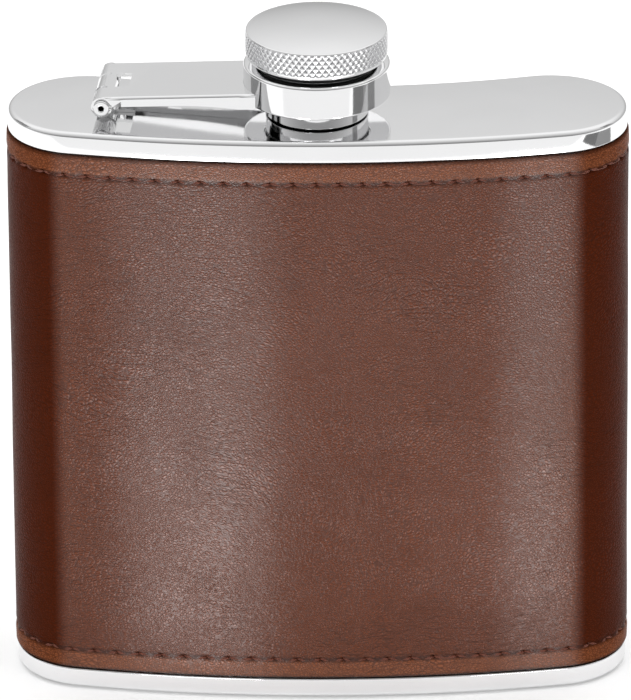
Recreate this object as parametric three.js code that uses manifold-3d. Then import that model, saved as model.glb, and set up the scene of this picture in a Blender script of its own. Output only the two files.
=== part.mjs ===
// Leather-wrapped steel hip flask whose screw cap stays on a hinged arm.
// Millimetres, +Z up, the flask stands on z = 0 and its box is centred on x = y = 0.
// The convex front faces -Y, the concave back faces +Y, and the hinge is on the -X side.
import * as THREE from 'three';
import { mergeVertices } from 'three/addons/utils/BufferGeometryUtils.js';
import Module from 'manifold-3d';

const wasm = await Module();
wasm.setup();

// ---- overall body, measured over the leather ----
const BODY_WIDTH = 95;
const BODY_THICKNESS = 23.1; // front to back on the centre line
const BODY_HEIGHT = 93.4; // resting face to the top of the shoulder plate
const FRONT_RADIUS = 185; // plan radius of the convex front
const BACK_RADIUS = 130; // plan radius of the concave back

// ---- steel shell ----
const SHEET = 0.6; // wall and plate thickness
const RIM_INSET = 0.2; // rims lie this far inside the leather's outer face
const TOP_RIM_HEIGHT = 3.5;
const BASE_RIM_HEIGHT = 3.3;
const TOP_EDGE_RADIUS = 0.8;
const BASE_EDGE_RADIUS = 1.2;
const SEAT_GAP = 0.25; // between fixed pieces that sit on or in each other

// ---- leather wrap and its thread ----
const LEATHER_THICKNESS = 0.8;
const LEATHER_GAP = 0.3; // leather edge to steel rim
const HEM_CHAMFER = 0.25;
const TOP_STITCH_DROP = 3.2; // leather's top edge to the stitch line
const BASE_STITCH_RISE = 3.05; // leather's bottom edge to the stitch line
const GROOVE_DEPTH = 0.5;
const GROOVE_HALF_WIDTH = 0.35;
const THREAD_SINK = 0.06; // thread's outer face below the leather's
const THREAD_GAP = 0.1; // thread to the groove's walls

// ---- filler neck ----
const NECK_BACK = 0.8; // how far behind the centre line's middle the neck's axis is
const NECK_BORE_RADIUS = 4.9;
const NECK_WALL = 0.9;
const THREAD_DEPTH = 0.5;
const THREAD_PITCH = 1.25;
const NECK_FLANGE_WIDTH = 2.0;
const NECK_LIP = 1.3; // plain length above and below the thread

// ---- hinge ----
const HINGE_SPAN = 32.1; // pin axis to the neck's axis, in plan
const HINGE_BACK = 2.7; // how much further back than the neck the pin's middle is
const PIN_RADIUS = 0.75;
const PIN_BORE_RADIUS = 0.4;
const PIN_HEAD_RADIUS = 1.25;
const PIN_HEAD_THICKNESS = 0.35;
const PIN_CLEARANCE = 0.25;
const BRACKET_SHEET = 0.4;
const BARREL_CLEARANCE = 0.2; // arm's rolled end over the bracket's foot
const EAR_SPACING = 5.1; // between the bracket ears' mid planes
const EAR_WALL = 0.375; // ear metal round the pin's hole
const EAR_FOOT_BACK = 1.2;
const FOOT_FRONT = 4.6; // bracket foot reaches this far towards the neck
const EAR_SIDE_CLEARANCE = 0.35; // ear to the slot's side walls
const EAR_END_CLEARANCE = 0.45; // ear's rounded end to the slot, so the arm can swing over

// ---- captive arm ----
const ARM_WIDTH = 14.2;
const ARM_SHEET = 0.6;
const ARM_SLOPE = THREE.MathUtils.degToRad(3.2); // rises towards the cap
const ARM_BEND_RADIUS = 0.9;
const FLANGE_DEPTH = 1.55; // outside height of the flanges along the arm
const FLANGE_DEPTH_AT_RING = 2.4;
const WINDOW_START = 1.4; // pin axis to the window's near edge
const WINDOW_LENGTH = 2.4;
const WINDOW_WIDTH = 5.3;

// ---- collar ring at the arm's end ----
const RING_MOUTH_GAP = 1.46; // sleeve to the ring's lip
const RING_WALL = 0.6;
const RING_BOTTOM = 3.1; // above the shoulder plate
const RING_HEIGHT = 5.3;
const RING_LIP = 1.9; // width of the turned-in top lip
const RING_BEVEL = 0.3;

// ---- screw cap ----
const SLEEVE_WALL = 0.94;
const SLEEVE_CLEARANCE = 0.6; // sleeve bore to thread crest, so the arm can lift it off
const SLEEVE_RUNNING_GAP = 0.3; // sleeve in the ring's lower hole
const SLEEVE_FOOT_GAP = 0.25; // sleeve above the shoulder plate when closed
const SLEEVE_SOCKET = 1.3; // depth of the sleeve's end in the head
const FLANGE_GRIP = 0.7; // how far the sleeve's flange passes under the ring's lip
const FLANGE_THICKNESS = 0.6;
const HEAD_STEP = 0.35; // head's radius under the ring's
const HEAD_GAP = 0.7; // ring's top lip to the head
const HEAD_HEIGHT = 4.6; // underside to the rim of the crown
const CROWN = 0.8;
const HEAD_FOOT_CHAMFER = 0.65;
const HEAD_TOP_CHAMFER = 0.3;
const WASHER_SINK = 0.35; // washer's depth inside the ring's mouth
const LINER_THICKNESS = 1.5;
const LINER_GAP = 0.2;

// ---- facets ----
const ARC_STEPS = 14; // across the front and across the back
const END_STEPS = 10; // round each end
const ROUND_STEPS = 40;
const SMALL_ROUND_STEPS = 20;

const COLOURS = {
  steel: { color: 0xd8d8da, roughness: 0.12, metalness: 1 },
  innerSteel: { color: 0xb4b4b6, roughness: 0.35, metalness: 1 },
  leather: { color: 0x6a3524, roughness: 0.45, metalness: 0 },
  thread: { color: 0x2e120a, roughness: 0.8, metalness: 0 },
  rubber: { color: 0x161616, roughness: 0.6, metalness: 0 },
  liner: { color: 0xe6e2d8, roughness: 0.5, metalness: 0 },
};

// ---- body plan: two arcs joined by an end circle that touches both ----
const frontCentre = FRONT_RADIUS - BODY_THICKNESS / 2;
const backCentre = BACK_RADIUS + BODY_THICKNESS / 2;

function endCentreFromFront(radius) {
  return frontCentre - Math.sqrt((FRONT_RADIUS - radius) ** 2 - (BODY_WIDTH / 2 - radius) ** 2);
}

function endCentreFromBack(radius) {
  return backCentre - Math.sqrt((BACK_RADIUS + radius) ** 2 - (BODY_WIDTH / 2 - radius) ** 2);
}

function findEndRadius() {
  let low = 0;
  let high = BODY_WIDTH / 2;
  for (let i = 0; i < 50; i += 1) {
    const radius = (low + high) / 2;
    if (endCentreFromFront(radius) < endCentreFromBack(radius)) low = radius;
    else high = radius;
  }
  return (low + high) / 2;
}

const endRadius = findEndRadius();
const endX = BODY_WIDTH / 2 - endRadius;
const endY = endCentreFromFront(endRadius);
// moves the plan so that the middle of its box is the origin
const planShift = (BODY_THICKNESS / 2 - endY - endRadius) / 2;

function arcPoints(cx, cy, radius, from, to, steps) {
  return Array.from({ length: steps }, (_, i) => {
    const angle = from + ((to - from) * i) / steps;
    return new THREE.Vector2(cx + radius * Math.cos(angle), cy + radius * Math.sin(angle));
  });
}

// closed outline, counter-clockwise from above, a given distance inside the leather's outer face
function bodyOutline(inset) {
  const front = Math.atan2(endY - frontCentre, endX);
  const back = Math.atan2(endY - backCentre, endX);
  const turn = Math.atan2(backCentre - endY, -endX);
  const end = endRadius - inset;
  const points = [
    ...arcPoints(0, frontCentre, FRONT_RADIUS - inset, -Math.PI - front, front, ARC_STEPS),
    ...arcPoints(endX, endY, end, front, turn, END_STEPS),
    ...arcPoints(0, backCentre, BACK_RADIUS + inset, back, -Math.PI - back, ARC_STEPS),
    ...arcPoints(-endX, endY, end, Math.PI - turn, Math.PI - front, END_STEPS),
  ];
  return points.map((point) => point.setY(point.y + planShift));
}

// ---- solids ----
function outward(geometry) {
  const bare = geometry.index ? geometry : mergeVertices(geometry);
  const position = bare.attributes.position;
  const index = Array.from(bare.index.array);
  const [a, b, c] = [new THREE.Vector3(), new THREE.Vector3(), new THREE.Vector3()];
  let volume = 0;
  for (let i = 0; i < index.length; i += 3) {
    a.fromBufferAttribute(position, index[i]);
    b.fromBufferAttribute(position, index[i + 1]);
    c.fromBufferAttribute(position, index[i + 2]);
    volume += a.dot(b.cross(c));
  }
  if (volume < 0) index.reverse();
  bare.setIndex(index);
  return bare;
}

function closed(geometry) {
  const bare = geometry.clone();
  bare.deleteAttribute('normal');
  bare.deleteAttribute('uv');
  const merged = mergeVertices(bare, 1e-4);
  const index = merged.index.array;
  const kept = [];
  for (let i = 0; i < index.length; i += 3) {
    const [p, q, r] = [index[i], index[i + 1], index[i + 2]];
    if (p !== q && q !== r && r !== p) kept.push(p, q, r);
  }
  merged.setIndex(kept);
  return outward(merged);
}

// rows of points joined into a skin; the last row meets the first, or both ends get a cap
function skin(rows, isLoop) {
  const count = rows[0].length;
  const positions = rows.flat().flatMap((point) => [point.x, point.y, point.z]);
  const index = [];
  const joined = isLoop ? rows.length : rows.length - 1;
  for (let j = 0; j < joined; j += 1) {
    const next = (j + 1) % rows.length;
    for (let i = 0; i < count; i += 1) {
      const right = (i + 1) % count;
      index.push(j * count + i, j * count + right, next * count + right);
      index.push(j * count + i, next * count + right, next * count + i);
    }
  }
  if (!isLoop) {
    const last = (rows.length - 1) * count;
    for (const [p, q, r] of THREE.ShapeUtils.triangulateShape(rows[0], [])) index.push(r, q, p);
    for (const [p, q, r] of THREE.ShapeUtils.triangulateShape(rows[rows.length - 1], [])) {
      index.push(last + p, last + q, last + r);
    }
  }
  const geometry = new THREE.BufferGeometry();
  geometry.setAttribute('position', new THREE.Float32BufferAttribute(positions, 3));
  geometry.setIndex(index);
  return outward(geometry);
}

// profile points are [inset, z]
function sweepBody(profile, isLoop) {
  const rows = profile.map(([inset, z]) =>
    bodyOutline(inset).map((point) => new THREE.Vector3(point.x, point.y, z)));
  return skin(rows, isLoop);
}

// profile points are [radius, z]; a profile that leaves the axis comes back to it or closes
function turned(profile, steps = ROUND_STEPS) {
  const points = profile.map(([radius, z]) => new THREE.Vector2(radius, z));
  const onAxis = profile[0][0] === 0;
  if (!onAxis) points.push(points[0].clone());
  return closed(new THREE.LatheGeometry(points, steps).rotateX(Math.PI / 2));
}

function box(width, depth, height, x, y, z) {
  return new THREE.BoxGeometry(width, depth, height).translate(x, y, z);
}

// round bar along Y
function crossBar(radius, length, y = 0, steps = SMALL_ROUND_STEPS) {
  return new THREE.CylinderGeometry(radius, radius, length, steps).translate(0, y, 0);
}

// a side view in x and z, given thickness along Y and centred on y
function sidePlate(shape, thickness, y = 0) {
  const plate = new THREE.ExtrudeGeometry(shape, { depth: thickness, bevelEnabled: false });
  return plate.rotateX(Math.PI / 2).translate(0, y + thickness / 2, 0);
}

function toManifold(geometry) {
  const solid = closed(geometry);
  return new wasm.Manifold(new wasm.Mesh({
    numProp: 3,
    vertProperties: new Float32Array(solid.attributes.position.array),
    triVerts: new Uint32Array(solid.index.array),
  }));
}

function fromManifold(manifold) {
  const mesh = manifold.getMesh();
  const geometry = new THREE.BufferGeometry();
  geometry.setAttribute('position', new THREE.Float32BufferAttribute(mesh.vertProperties, 3));
  geometry.setIndex(Array.from(mesh.triVerts));
  return closed(geometry);
}

function join(...geometries) {
  return fromManifold(geometries.map(toManifold).reduce((sum, next) => sum.add(next)));
}

function cut(geometry, ...tools) {
  return fromManifold(tools.map(toManifold).reduce((rest, tool) => rest.subtract(tool),
    toManifold(geometry)));
}

function piece(name, geometry, look) {
  const mesh = new THREE.Mesh(geometry, new THREE.MeshStandardMaterial(look));
  mesh.name = name;
  return mesh;
}

// ---- sizes that follow from the ones above ----
const skirtInner = RIM_INSET + SHEET;
const leatherInner = LEATHER_THICKNESS;
const wallInset = Math.max(skirtInner, leatherInner) + SEAT_GAP;
const leatherTop = BODY_HEIGHT - TOP_RIM_HEIGHT - LEATHER_GAP;
const leatherBase = BASE_RIM_HEIGHT + LEATHER_GAP;
const topStitch = leatherTop - TOP_STITCH_DROP;
const baseStitch = leatherBase + BASE_STITCH_RISE;
const neckY = planShift + NECK_BACK;
const neckRadius = NECK_BORE_RADIUS + NECK_WALL;
const crestRadius = neckRadius + THREAD_DEPTH;
const sleeveBore = crestRadius + SLEEVE_CLEARANCE;
const sleeveRadius = sleeveBore + SLEEVE_WALL;
const lipRadius = sleeveRadius + RING_MOUTH_GAP;
const ringRadius = lipRadius + RING_LIP;
const headRadius = ringRadius - HEAD_STEP;
const ringTop = RING_BOTTOM + RING_HEIGHT;
const headUnderside = ringTop + HEAD_GAP;
const sleeveTop = headUnderside + SLEEVE_SOCKET;
const linerTop = sleeveTop - LINER_GAP;
const linerLow = linerTop - LINER_THICKNESS;
const neckHeight = linerLow - LINER_GAP; // above the shoulder plate
const earHole = PIN_RADIUS + SEAT_GAP / 2;
const earRadius = earHole + EAR_WALL;
const barrelRadius = PIN_RADIUS + PIN_CLEARANCE + ARM_SHEET;
const pinHeight = SEAT_GAP + BRACKET_SHEET + BARREL_CLEARANCE + barrelRadius; // over the plate

// ---- shell ----
function bodyWall() {
  const low = SHEET + SEAT_GAP;
  const high = BODY_HEIGHT - SHEET - SEAT_GAP;
  const inner = wallInset + SHEET;
  return sweepBody([[wallInset, low], [wallInset, high], [inner, high], [inner, low]], true);
}

// pressed pan: flat face, rounded edge and a skirt that covers the wall's end
function pan(zAt, edgeRadius, skirtHeight) {
  const mid = edgeRadius * (1 - Math.SQRT1_2);
  const profile = [
    [RIM_INSET + edgeRadius, 0],
    [RIM_INSET + mid, mid],
    [RIM_INSET, edgeRadius],
    [RIM_INSET, skirtHeight],
    [skirtInner, skirtHeight],
    [skirtInner, SHEET],
  ];
  return sweepBody(profile.map(([inset, depth]) => [inset, zAt(depth)]), false);
}

function shoulderPlate() {
  const plate = pan((depth) => BODY_HEIGHT - depth, TOP_EDGE_RADIUS, TOP_RIM_HEIGHT);
  const hole = new THREE.CylinderGeometry(
    neckRadius + SEAT_GAP, neckRadius + SEAT_GAP, 4 * SHEET, ROUND_STEPS);
  return cut(plate, hole.rotateX(Math.PI / 2).translate(0, neckY, BODY_HEIGHT));
}

function basePlate() {
  return pan((depth) => depth, BASE_EDGE_RADIUS, BASE_RIM_HEIGHT);
}

// ---- leather and thread ----
function leatherWrap() {
  const groove = (z) => [
    [0, z - GROOVE_HALF_WIDTH],
    [GROOVE_DEPTH, z - GROOVE_HALF_WIDTH],
    [GROOVE_DEPTH, z + GROOVE_HALF_WIDTH],
    [0, z + GROOVE_HALF_WIDTH],
  ];
  const wrap = sweepBody([
    [leatherInner, leatherBase],
    [HEM_CHAMFER, leatherBase],
    [0, leatherBase + HEM_CHAMFER],
    ...groove(baseStitch),
    ...groove(topStitch),
    [0, leatherTop - HEM_CHAMFER],
    [HEM_CHAMFER, leatherTop],
    [leatherInner, leatherTop],
  ], true);
  const height = topStitch - baseStitch;
  const backFace = planShift + BODY_THICKNESS / 2;
  return cut(wrap, box(2 * GROOVE_HALF_WIDTH, 2 * GROOVE_DEPTH, height,
    0, backFace, baseStitch + height / 2));
}

function stitchLoop(z) {
  const half = GROOVE_HALF_WIDTH - THREAD_GAP;
  const outer = THREAD_SINK;
  const inner = GROOVE_DEPTH - THREAD_GAP;
  const profile = [[outer, z - half], [outer, z + half], [inner, z + half], [inner, z - half]];
  return sweepBody(profile, true);
}

function seamStitch() {
  const depth = GROOVE_DEPTH - THREAD_SINK - THREAD_GAP;
  const end = 2 * GROOVE_HALF_WIDTH;
  const height = topStitch - baseStitch - 2 * end;
  const backFace = planShift + BODY_THICKNESS / 2;
  return box(2 * (GROOVE_HALF_WIDTH - THREAD_GAP), depth, height,
    0, backFace - THREAD_SINK - depth / 2, baseStitch + end + height / 2);
}

// ---- neck: a tube with a flange under the plate and a helical thread outside ----
function neck() {
  const low = BODY_HEIGHT - 2 * SHEET - SEAT_GAP;
  const flangeTop = low + SHEET;
  const threadLow = BODY_HEIGHT + NECK_LIP;
  const top = BODY_HEIGHT + neckHeight;
  const threadHigh = top - NECK_LIP;
  const rowCount = Math.ceil(((threadHigh - threadLow) / THREAD_PITCH) * 6);
  const circle = (radiusAt, z) => Array.from({ length: ROUND_STEPS }, (_, i) => {
    const angle = (2 * Math.PI * i) / ROUND_STEPS;
    const radius = radiusAt(angle);
    return new THREE.Vector3(radius * Math.cos(angle), neckY + radius * Math.sin(angle), z);
  });
  const plain = (radius, z) => circle(() => radius, z);
  const rows = [
    plain(NECK_BORE_RADIUS, low),
    plain(neckRadius + NECK_FLANGE_WIDTH, low),
    plain(neckRadius + NECK_FLANGE_WIDTH, flangeTop),
    plain(neckRadius, flangeTop),
  ];
  for (let j = 0; j <= rowCount; j += 1) {
    const share = j / rowCount;
    const z = threadLow + (threadHigh - threadLow) * share;
    const fade = Math.min(1, 4 * share, 4 * (1 - share));
    rows.push(circle((angle) => {
      const phase = (2 * Math.PI * (z - threadLow)) / THREAD_PITCH - angle;
      return neckRadius + THREAD_DEPTH * fade * (0.5 + 0.5 * Math.cos(phase));
    }, z));
  }
  rows.push(plain(neckRadius, top));
  rows.push(plain(NECK_BORE_RADIUS, top));
  return skin(rows, true);
}

// ---- hinge; its own frame has the pin's axis along Y through the origin ----
function hingePin() {
  const reach = ARM_WIDTH / 2 + SEAT_GAP;
  const end = reach + PIN_HEAD_THICKNESS;
  const pin = turned([
    [PIN_BORE_RADIUS, -end],
    [PIN_HEAD_RADIUS, -end],
    [PIN_HEAD_RADIUS, -reach],
    [PIN_RADIUS, -reach],
    [PIN_RADIUS, reach],
    [PIN_HEAD_RADIUS, reach],
    [PIN_HEAD_RADIUS, end],
    [PIN_BORE_RADIUS, end],
  ], SMALL_ROUND_STEPS);
  return pin.rotateX(Math.PI / 2);
}

const earOffset = EAR_SPACING / 2;
const footBottom = SEAT_GAP - pinHeight;

function hingeBracket() {
  const side = new THREE.Shape();
  side.moveTo(-EAR_FOOT_BACK, footBottom);
  side.lineTo(EAR_FOOT_BACK, footBottom);
  side.lineTo(earRadius, 0);
  side.absarc(0, 0, earRadius, 0, Math.PI, false);
  side.lineTo(-EAR_FOOT_BACK, footBottom);
  const ears = [-earOffset, earOffset].map((y) => sidePlate(side, BRACKET_SHEET, y));
  const length = EAR_FOOT_BACK + FOOT_FRONT;
  const foot = box(length, EAR_SPACING + BRACKET_SHEET, BRACKET_SHEET,
    FOOT_FRONT - length / 2, 0, footBottom + BRACKET_SHEET / 2);
  const hole = crossBar(earHole, 2 * EAR_SPACING);
  return cut(join(foot, ...ears), hole);
}

// channel section in y and z, with rounded bends
function channelSection() {
  const half = ARM_WIDTH / 2;
  const top = barrelRadius;
  const bottom = top - FLANGE_DEPTH_AT_RING;
  const inner = half - ARM_SHEET;
  const innerBend = Math.max(ARM_BEND_RADIUS - ARM_SHEET, 0);
  const section = new THREE.Shape();
  section.moveTo(-half, bottom);
  section.lineTo(-inner, bottom);
  section.lineTo(-inner, top - ARM_SHEET - innerBend);
  section.lineTo(-inner + innerBend, top - ARM_SHEET);
  section.lineTo(inner - innerBend, top - ARM_SHEET);
  section.lineTo(inner, top - ARM_SHEET - innerBend);
  section.lineTo(inner, bottom);
  section.lineTo(half, bottom);
  section.absarc(half - ARM_BEND_RADIUS, top - ARM_BEND_RADIUS, ARM_BEND_RADIUS, 0, Math.PI / 2);
  section.absarc(-half + ARM_BEND_RADIUS, top - ARM_BEND_RADIUS, ARM_BEND_RADIUS,
    Math.PI / 2, Math.PI);
  return section;
}

function captiveArm(span) {
  const length = span - ringRadius / 2;
  const channel = new THREE.ExtrudeGeometry(channelSection(),
    { depth: length, bevelEnabled: false, curveSegments: 3 });
  channel.rotateX(Math.PI / 2).rotateZ(Math.PI / 2);

  // what is taken off the flanges, seen from the side
  const shallow = barrelRadius - FLANGE_DEPTH;
  const deep = barrelRadius - FLANGE_DEPTH_AT_RING;
  const ringSide = span - ringRadius;
  const below = new THREE.Shape();
  below.moveTo(-2 * barrelRadius, shallow);
  below.lineTo(ringSide / 2, shallow);
  below.quadraticCurveTo(0.85 * ringSide, shallow, ringSide, deep);
  below.lineTo(ringSide, deep - 1);
  below.lineTo(-2 * barrelRadius, deep - 1);
  const trimmed = cut(channel, sidePlate(below, 2 * ARM_WIDTH));
  const window = box(WINDOW_LENGTH, WINDOW_WIDTH, 4 * ARM_SHEET,
    WINDOW_START + WINDOW_LENGTH / 2, 0, barrelRadius);
  const strap = cut(trimmed, window).rotateY(-ARM_SLOPE);

  const rolled = join(strap, crossBar(barrelRadius, ARM_WIDTH));
  const slotRadius = earRadius + EAR_END_CLEARANCE;
  const slotWidth = BRACKET_SHEET + 2 * EAR_SIDE_CLEARANCE;
  const slots = [-earOffset, earOffset].map((y) => crossBar(slotRadius, slotWidth, y));
  const bore = crossBar(PIN_RADIUS + PIN_CLEARANCE, 2 * ARM_WIDTH);
  const seat = ringRadius + SEAT_GAP;
  const ringCut = new THREE.CylinderGeometry(seat, seat, 8 * RING_HEIGHT, 2 * ROUND_STEPS);
  ringCut.rotateX(Math.PI / 2).translate(span, 0, 0);
  return cut(rolled, bore, ...slots, ringCut);
}

// ---- collar ring and cap, turned about the neck's axis ----
function collarRing() {
  const hole = sleeveRadius + SLEEVE_RUNNING_GAP;
  const cavity = ringRadius - RING_WALL;
  return turned([
    [hole, RING_BOTTOM],
    [ringRadius - RING_BEVEL, RING_BOTTOM],
    [ringRadius, RING_BOTTOM + RING_BEVEL],
    [ringRadius, ringTop - RING_BEVEL],
    [ringRadius - RING_BEVEL, ringTop],
    [lipRadius + RING_BEVEL, ringTop],
    [lipRadius, ringTop - RING_BEVEL],
    [lipRadius, ringTop - RING_WALL],
    [cavity, ringTop - RING_WALL],
    [cavity, RING_BOTTOM + RING_WALL],
    [hole, RING_BOTTOM + RING_WALL],
  ]);
}

function capSleeve() {
  const flangeLow = RING_BOTTOM + RING_WALL + SEAT_GAP / 2;
  const flangeHigh = flangeLow + FLANGE_THICKNESS;
  const flangeRadius = lipRadius + FLANGE_GRIP;
  const high = sleeveTop - SEAT_GAP / 2;
  return turned([
    [sleeveBore, SLEEVE_FOOT_GAP],
    [sleeveRadius, SLEEVE_FOOT_GAP],
    [sleeveRadius, flangeLow],
    [flangeRadius, flangeLow],
    [flangeRadius, flangeHigh],
    [sleeveRadius, flangeHigh],
    [sleeveRadius, high],
    [sleeveBore, high],
  ]);
}

function capHead() {
  const socket = sleeveRadius + SEAT_GAP;
  const rim = headUnderside + HEAD_HEIGHT;
  return turned([
    [0, sleeveTop],
    [socket, sleeveTop],
    [socket, headUnderside],
    [headRadius - HEAD_FOOT_CHAMFER, headUnderside],
    [headRadius, headUnderside + HEAD_FOOT_CHAMFER],
    [headRadius, rim - HEAD_TOP_CHAMFER],
    [headRadius - HEAD_TOP_CHAMFER, rim],
    [headRadius / 2, rim + 0.75 * CROWN],
    [0, rim + CROWN],
  ]);
}

function capWasher() {
  const inner = sleeveRadius + SLEEVE_RUNNING_GAP;
  const outer = lipRadius - SEAT_GAP;
  const low = ringTop - WASHER_SINK;
  const high = headUnderside - SEAT_GAP;
  return turned([[inner, low], [outer, low], [outer, high], [inner, high]]);
}

function capLiner() {
  const radius = sleeveBore - SEAT_GAP;
  return turned([[0, linerLow], [radius, linerLow], [radius, linerTop], [0, linerTop]]);
}

// ---- assembly ----
const flask = new THREE.Group();
flask.add(
  piece('body_wall', bodyWall(), COLOURS.innerSteel),
  piece('shoulder_plate', shoulderPlate(), COLOURS.steel),
  piece('base_plate', basePlate(), COLOURS.steel),
  piece('leather_wrap', leatherWrap(), COLOURS.leather),
  piece('top_stitching', stitchLoop(topStitch), COLOURS.thread),
  piece('bottom_stitching', stitchLoop(baseStitch), COLOURS.thread),
  piece('seam_stitching', seamStitch(), COLOURS.thread),
  piece('neck', neck(), COLOURS.innerSteel),
);

const hingeYaw = Math.atan2(HINGE_BACK, HINGE_SPAN);
const hinge = new THREE.Group();
hinge.position.set(-HINGE_SPAN, neckY + HINGE_BACK, BODY_HEIGHT + pinHeight);
hinge.rotation.z = -hingeYaw;
hinge.add(
  piece('hinge_bracket', hingeBracket(), COLOURS.innerSteel),
  piece('hinge_pin', hingePin(), COLOURS.steel),
  piece('captive_arm', captiveArm(Math.hypot(HINGE_SPAN, HINGE_BACK)), COLOURS.steel),
);
flask.add(hinge);

const cap = new THREE.Group();
cap.position.set(0, neckY, BODY_HEIGHT);
cap.add(
  piece('collar_ring', collarRing(), COLOURS.steel),
  piece('cap_head', capHead(), COLOURS.steel),
  piece('cap_sleeve', capSleeve(), COLOURS.steel),
  piece('cap_washer', capWasher(), COLOURS.rubber),
  piece('cap_liner', capLiner(), COLOURS.liner),
);
flask.add(cap);

export default flask;
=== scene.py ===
import math

import bmesh
import bpy
import numpy as np
from mathutils import Matrix, Vector


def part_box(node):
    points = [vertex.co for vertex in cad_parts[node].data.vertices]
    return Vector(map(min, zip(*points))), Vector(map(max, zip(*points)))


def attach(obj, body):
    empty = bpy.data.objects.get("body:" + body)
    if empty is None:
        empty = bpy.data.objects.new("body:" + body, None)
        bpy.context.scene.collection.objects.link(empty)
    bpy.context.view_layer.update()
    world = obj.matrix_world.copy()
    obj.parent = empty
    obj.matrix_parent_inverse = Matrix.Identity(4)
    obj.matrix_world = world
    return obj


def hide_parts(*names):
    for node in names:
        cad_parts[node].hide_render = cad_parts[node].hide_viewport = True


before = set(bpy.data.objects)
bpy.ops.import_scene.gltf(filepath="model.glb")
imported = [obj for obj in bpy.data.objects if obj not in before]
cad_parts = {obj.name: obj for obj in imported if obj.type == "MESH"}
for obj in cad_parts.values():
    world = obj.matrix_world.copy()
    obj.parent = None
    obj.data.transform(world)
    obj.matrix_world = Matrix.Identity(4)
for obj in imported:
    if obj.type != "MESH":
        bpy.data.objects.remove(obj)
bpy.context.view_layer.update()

# Lengths are in millimetres and become metres when a mesh is made.
MM = 0.001
WELD_DISTANCE = 1e-7


def box_mm(node):
    low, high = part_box(node)
    return np.array(low) / MM, np.array(high) / MM


# ---- places taken from the frame ----
PLATE_LOW, PLATE_HIGH = box_mm("shoulder_plate")
BASE_LOW, BASE_HIGH = box_mm("base_plate")
LEATHER_LOW, LEATHER_HIGH = box_mm("leather_wrap")
HEAD_LOW, HEAD_HIGH = box_mm("cap_head")
RING_LOW, RING_HIGH = box_mm("collar_ring")
SLEEVE_HIGH = box_mm("cap_sleeve")[1]
WASHER_LOW, WASHER_HIGH = box_mm("cap_washer")
LINER_LOW, LINER_HIGH = box_mm("cap_liner")
NECK_LOW, NECK_HIGH = box_mm("neck")
TOP_STITCH_Z = sum(b[2] for b in box_mm("top_stitching")) / 2
BASE_STITCH_Z = sum(b[2] for b in box_mm("bottom_stitching")) / 2
NECK_X = (HEAD_LOW[0] + HEAD_HIGH[0]) / 2
NECK_Y = (HEAD_LOW[1] + HEAD_HIGH[1]) / 2
PLATE_Z = PLATE_HIGH[2]

# ---- body plan ----
BODY_WIDTH = 95.0
BODY_THICKNESS = 23.1
FRONT_RADIUS = 185.0
BACK_RADIUS = 130.0
RIM_INSET = 0.2
SHEET = 0.6
TOP_EDGE = 0.8
BASE_EDGE = 1.2
PLATE_CROWN = 0.14  # the shoulder plate's middle stands this much over its edge
PLATE_CROWN_REACH = 10.5

# ---- leather ----
LEATHER_THICKNESS = 0.8
HEM_ROUND = 0.34
STITCH_PITCH = 3.5
STITCH_VALLEY = 0.2
STITCH_VALLEY_WIDTH = 0.42
HOLE_DEPTH = 0.42
HOLE_LENGTH = 0.4
HOLE_WIDTH = 0.3
STRAND_RADIUS = 0.105
STRAND_SPREAD = 0.14
STITCH_SLANT = 0.16
THREAD_DEPTH_MIDDLE = 0.06
THREAD_DEPTH_DIVE = 0.34
THREAD_STEPS = 15
SEAM_LAP = 0.22  # step where one end of the wrap lies over the other
SEAM_STEP_AT = 2.2  # from the seam's stitches to that step
SEAM_GROOVE = 0.2
HEM_CROWN = 0.05
HEM_FADE_START = 0.2  # the warmer brown of the hems starts this far inside the stitches
HEM_FADE_END = 0.5
EDGE_DYE_REACH = 0.7
# waves of the hide: turns round the body, phase per millimetre of height, phase, height
HIDE_WAVES = (
    (5, 0.11, 0.4, 0.016),
    (9, -0.17, 2.1, 0.013),
    (14, 0.27, 4.0, 0.009),
    (23, -0.35, 1.2, 0.006),
    (37, 0.6, 5.3, 0.004),
)

# ---- leather's colour and gloss; distances from the middle are in metres ----
LEATHER_DARK = (0.088, 0.0175, 0.0042, 1)
LEATHER_MIDDLE = (0.142, 0.034, 0.009, 1)
LEATHER_WARM = (0.25, 0.078, 0.03, 1)
# colour of the rounded ends: painted shade, darker and redder than the rest
LEATHER_END_PAINTED_SHADE = (0.066, 0.0105, 0.0018, 1)
LEATHER_PORE = (0.03, 0.007, 0.0025, 1)
LEATHER_BURNT = (0.028, 0.0065, 0.0025, 1)
END_START, END_FULL = 0.0385, 0.0412
GLOSS_BANDS = ((-0.019, 0.005, 0.017), (0.034, 0.001, 0.009))  # centre, full within, plain beyond
GLOSS_PLAIN, GLOSS_BAND = 0.32, 0.66
GLOSS_SHARE_AT_END = 0.06

# ---- cap and ring ----
SLEEVE_RADIUS = 7.84
SLEEVE_BORE = 6.9
FLANGE_RADIUS = 10.0
SLEEVE_GAP = 0.06  # from the sleeve's foot to the shoulder plate
FLANGE_LOW = 3.825
FLANGE_THICKNESS = 0.6
RING_RADIUS = 11.2
RING_WALL = 0.6
RING_LIP_RADIUS = 9.3
RING_LIP_RISE = 0.15  # the lip's mouth stands over its outer corner
RING_HOLE = 8.14
HEAD_RADIUS = 10.85
HEAD_FOOT_RADIUS = 10.1
HEAD_RIM_DROP = 0.8
HEAD_SOCKET = 8.09
KNURL_COUNT = 66
KNURL_PITCH = 1.32
KNURL_DEPTH = 0.16

# ---- neck ----
NECK_BORE = 4.9
NECK_RADIUS = 5.8
THREAD_DEPTH = 0.5
THREAD_PITCH = 1.25
NECK_PLAIN = 1.3
NECK_FLANGE = 2.0
SLEEVE_THREAD_DEPTH = 0.22

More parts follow.
